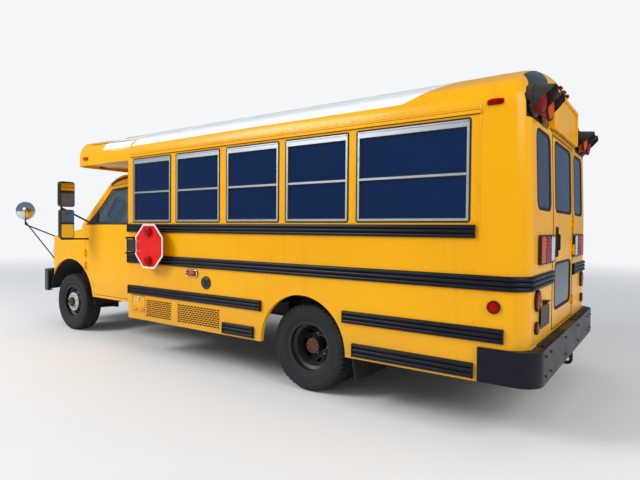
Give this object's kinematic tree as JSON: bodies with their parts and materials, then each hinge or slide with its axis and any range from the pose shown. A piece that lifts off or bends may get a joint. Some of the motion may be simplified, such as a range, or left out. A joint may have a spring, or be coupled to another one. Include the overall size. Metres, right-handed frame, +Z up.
{
  "type": "short school bus",
  "caption": "Short school bus: boxy body with ribbed rails and tinted windows on a van cab with dual rear wheels, side stop arm, hooded warning lamps and doors that open.",
  "frame": {"origin": "ground level, under the middle of the whole bus, half-way between its front bumper and the tips of its rear lamp hoods", "axes": "+X forward, +Y to the driver's side, +Z up"},
  "size_m": [6.805, 2.714, 2.62],
  "materials": {
    "yellow_paint": "gloss enamel",
    "white_paint": "gloss enamel",
    "black_paint": "satin enamel",
    "chassis_steel": "weathered",
    "engine_iron": "as cast",
    "aluminium_trim": "mill",
    "tinted_glass": "dark tint",
    "clear_glass": "light tint",
    "mirror_glass": "polished",
    "black_plastic": "moulded",
    "red_lens": "moulded",
    "amber_lens": "moulded",
    "clear_lens": "moulded",
    "sign_red": "reflective sheet",
    "wheel_steel": "worn enamel",
    "tyre_rubber": "moulded",
    "floor_rubber": "ribbed",
    "seat_vinyl": "grained vinyl",
    "zinc_steel": "galvanised"
  },
  "bodies": {
    "bus": {"chassis_frame": "chassis_steel", "engine": "engine_iron", "floor": "floor_rubber", "wall_left": "yellow_paint", "wall_right": "yellow_paint", "roof": "white_paint", "rear_cap": "yellow_paint", "front_cap": "yellow_paint", "front_wall": "yellow_paint", "cab_shell": "yellow_paint", "entrance_portal": "yellow_paint", "fenders": "yellow_paint", "grille": "black_plastic", "front_bumper": "black_paint", "windscreen": "clear_glass", "window_frames": "aluminium_trim", "body_glass": "tinted_glass", "rub_rails": "black_paint", "rear_bumper": "black_paint", "lamps_red": "red_lens", "lamps_amber": "amber_lens", "lamps_clear": "clear_lens", "lamp_hoods": "black_plastic", "sign_boxes": "yellow_paint", "skirt_grilles": "yellow_paint", "side_fittings": "black_plastic", "mirror_arms": "black_plastic", "mirror_faces": "mirror_glass", "dashboard": "black_plastic", "driver_seat": "seat_vinyl", "seat_frames": "zinc_steel", "bench_seats": "seat_vinyl", "rear_axle": "chassis_steel", "suspension": "chassis_steel", "fuel_tank": "zinc_steel", "exhaust": "zinc_steel", "belt_rails": "black_paint"},
    "knuckle_l": {"knuckle_left": "chassis_steel"},
    "knuckle_r": {"knuckle_right": "chassis_steel"},
    "front_wheel_l": {"tyre_front_left": "tyre_rubber", "rim_front_left": "wheel_steel"},
    "front_wheel_r": {"tyre_front_right": "tyre_rubber", "rim_front_right": "wheel_steel"},
    "rear_wheels_l": {"tyres_rear_left": "tyre_rubber", "rims_rear_left": "wheel_steel"},
    "rear_wheels_r": {"tyres_rear_right": "tyre_rubber", "rims_rear_right": "wheel_steel"},
    "hood_lid": {"hood": "yellow_paint"},
    "left_door": {"driver_door": "yellow_paint", "driver_door_glass": "clear_glass", "door_mirror_arms": "black_plastic", "door_mirror_faces": "mirror_glass"},
    "leaf_front": {"entrance_leaf_front": "yellow_paint", "entrance_glass_front": "clear_glass"},
    "leaf_rear": {"entrance_leaf_rear": "yellow_paint", "entrance_glass_rear": "clear_glass"},
    "back_door": {"emergency_door": "yellow_paint", "emergency_door_glass": "tinted_glass"},
    "stop_sign_arm": {"stop_arm": "sign_red"},
    "skirt_lid": {"skirt_door": "yellow_paint"}
  },
  "joints": [
    {"name": "steer_left", "type": "hinge", "parent": "bus", "child": "knuckle_l", "pos_m": [2.5215, 0.77, 0.372], "axis": [0, 0, 1], "range_deg": [-33, 33]},
    {"name": "steer_right", "type": "hinge", "parent": "bus", "child": "knuckle_r", "pos_m": [2.5215, -0.77, 0.372], "axis": [0, 0, 1], "range_deg": [-33, 33]},
    {"name": "spin_front_left", "type": "hinge", "parent": "knuckle_l", "child": "front_wheel_l", "pos_m": [2.5215, 0.873, 0.372], "axis": [0, 1, 0], "continuous": true},
    {"name": "spin_front_right", "type": "hinge", "parent": "knuckle_r", "child": "front_wheel_r", "pos_m": [2.5215, -0.873, 0.372], "axis": [0, 1, 0], "continuous": true},
    {"name": "spin_rear_left", "type": "hinge", "parent": "bus", "child": "rear_wheels_l", "pos_m": [-1.5175, 1.012, 0.372], "axis": [0, 1, 0], "continuous": true},
    {"name": "spin_rear_right", "type": "hinge", "parent": "bus", "child": "rear_wheels_r", "pos_m": [-1.5175, -1.012, 0.372], "axis": [0, 1, 0], "continuous": true},
    {"name": "hood_hinge", "type": "hinge", "parent": "bus", "child": "hood_lid", "pos_m": [2.2665, 0, 1.40352], "axis": [0, -1, 0], "range_deg": [0, 55]},
    {"name": "driver_door_hinge", "type": "hinge", "parent": "bus", "child": "left_door", "pos_m": [2.1345, 1.012, 1], "axis": [0, 0, -1], "range_deg": [0, 68]},
    {"name": "entrance_front_hinge", "type": "hinge", "parent": "bus", "child": "leaf_front", "pos_m": [1.8995, -1.162, 1.2], "axis": [0, 0, 1], "range_deg": [0, 85]},
    {"name": "entrance_rear_hinge", "type": "hinge", "parent": "bus", "child": "leaf_rear", "pos_m": [1.0455, -1.162, 1.2], "axis": [0, 0, 1], "range_deg": [-85, 0]},
    {"name": "emergency_door_hinge", "type": "hinge", "parent": "bus", "child": "back_door", "pos_m": [-3.2995, -0.427, 1.3], "axis": [0, 0, 1], "range_deg": [0, 100]},
    {"name": "stop_arm_hinge", "type": "hinge", "parent": "bus", "child": "stop_sign_arm", "pos_m": [0.7725, 1.306, 1.18], "axis": [0, 0, -1], "range_deg": [0, 90]},
    {"name": "skirt_door_hinge", "type": "hinge", "parent": "bus", "child": "skirt_lid", "pos_m": [0.6975, 1.231, 0.488], "axis": [-1, 0, 0], "range_deg": [0, 110]}
  ],
  "couplings": [
    {"joint": "steer_right", "follows": "steer_left", "ratio": 1},
    {"joint": "entrance_rear_hinge", "follows": "entrance_front_hinge", "ratio": -1}
  ]
}
